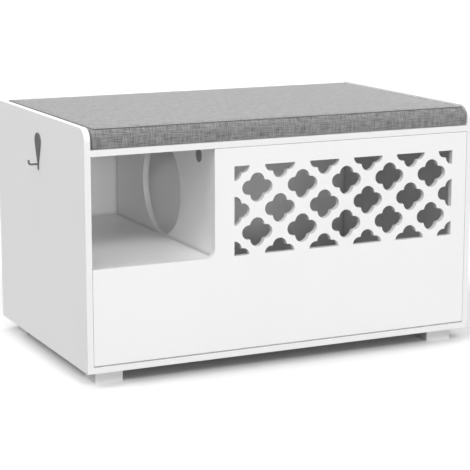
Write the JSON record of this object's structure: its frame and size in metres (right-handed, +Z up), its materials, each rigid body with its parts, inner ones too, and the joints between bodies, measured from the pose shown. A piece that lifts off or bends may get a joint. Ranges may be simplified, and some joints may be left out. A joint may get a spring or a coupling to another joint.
{
  "type": "cat cabinet",
  "caption": "White bench cabinet for a cat: padded seat between raised sides, open entry compartment with a round cat hole, and an L-shaped lattice front that drops as a flap.",
  "frame": {"origin": "on the floor under the middle of the overall box, hook included", "axes": "+Z up, +X to the right as seen from the front, front face towards -Y"},
  "size_m": [0.8626, 0.516, 0.495],
  "materials": {
    "white_board": "smooth white melamine faced board, satin",
    "white_plastic": "moulded white plastic",
    "plated_steel": "zinc plated steel",
    "dark_steel": "dark grey powder coat on steel",
    "cast_zinc": "dull die-cast zinc",
    "ferrite": "black sintered ferrite",
    "clear_rubber": "pale translucent soft dots",
    "beech": "plain fluted beech",
    "woven_cover": "grey plain-weave cover",
    "foam": "soft foam"
  },
  "bodies": {
    "cabinet": {"left_side_panel": "white_board", "right_side_panel": "white_board", "seat_board": "white_board", "bottom_board": "white_board", "back_panel": "white_board", "entry_shelf": "white_board", "partition_panel": "white_board", "pivot_bush_left": "white_plastic", "pivot_bush_right": "white_plastic", "catch_housings": "white_plastic", "catch_magnets": "ferrite", "catch_screws": "plated_steel", "door_bumpers": "clear_rubber", "foot_front_left": "white_plastic", "foot_front_right": "white_plastic", "foot_rear_left": "white_plastic", "foot_rear_right": "white_plastic", "foot_screws": "plated_steel", "scoop_hook": "dark_steel", "hook_screws": "dark_steel", "cam_locks": "cast_zinc", "cam_bolts": "plated_steel", "dowels": "beech", "partition_screws": "plated_steel", "back_panel_screws": "plated_steel"},
    "flap": {"flap_door": "white_board", "pivot_pin_left": "plated_steel", "pivot_pin_right": "plated_steel", "strike_plates": "plated_steel", "strike_screws": "plated_steel"},
    "cushion": {"cushion_cover": "woven_cover", "cushion_core": "foam"}
  },
  "joints": [
    {"name": "flap_hinge", "type": "hinge", "parent": "cabinet", "child": "flap", "pos_m": [0.01125, -0.252, 0.0474], "axis": [1, 0, 0], "range_deg": [0, 95]},
    {"name": "cushion_lift", "type": "slide", "parent": "cabinet", "child": "cushion", "axis": [0, 0, 1], "range_m": [0, 0.1]}
  ]
}
